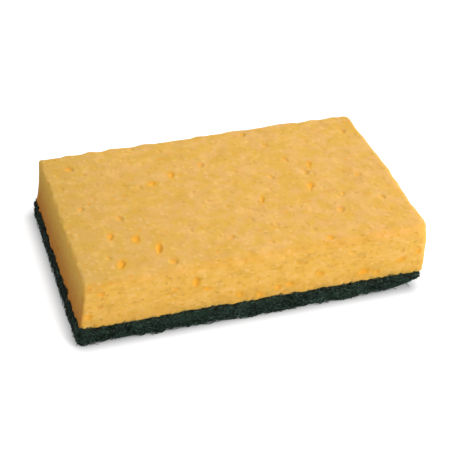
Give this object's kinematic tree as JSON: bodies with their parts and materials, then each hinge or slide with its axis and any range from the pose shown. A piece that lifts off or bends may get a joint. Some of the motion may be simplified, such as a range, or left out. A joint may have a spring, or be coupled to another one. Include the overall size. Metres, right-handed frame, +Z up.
{
  "type": "cellulose sponge",
  "caption": "Flat rectangular cellulose sponge block with open pores, backed over its whole underside by a ragged non-woven scouring pad.",
  "frame": {"origin": "the point under the middle of the whole object, on the surface that the pad's underside rests on", "axes": "+X along the length, +Y across the width away from the long front side, +Z up out of the sponge face"},
  "size_m": [0.16, 0.0954, 0.0327],
  "materials": {
    "cellulose": "golden yellow regenerated cellulose foam, sawn, matt and porous",
    "scouring_fibre": "very dark green felted fibres with resin and grit, matt with small glints"
  },
  "bodies": {
    "root": {"sponge_block": "cellulose", "scouring_pad": "scouring_fibre"}
  },
  "joints": []
}
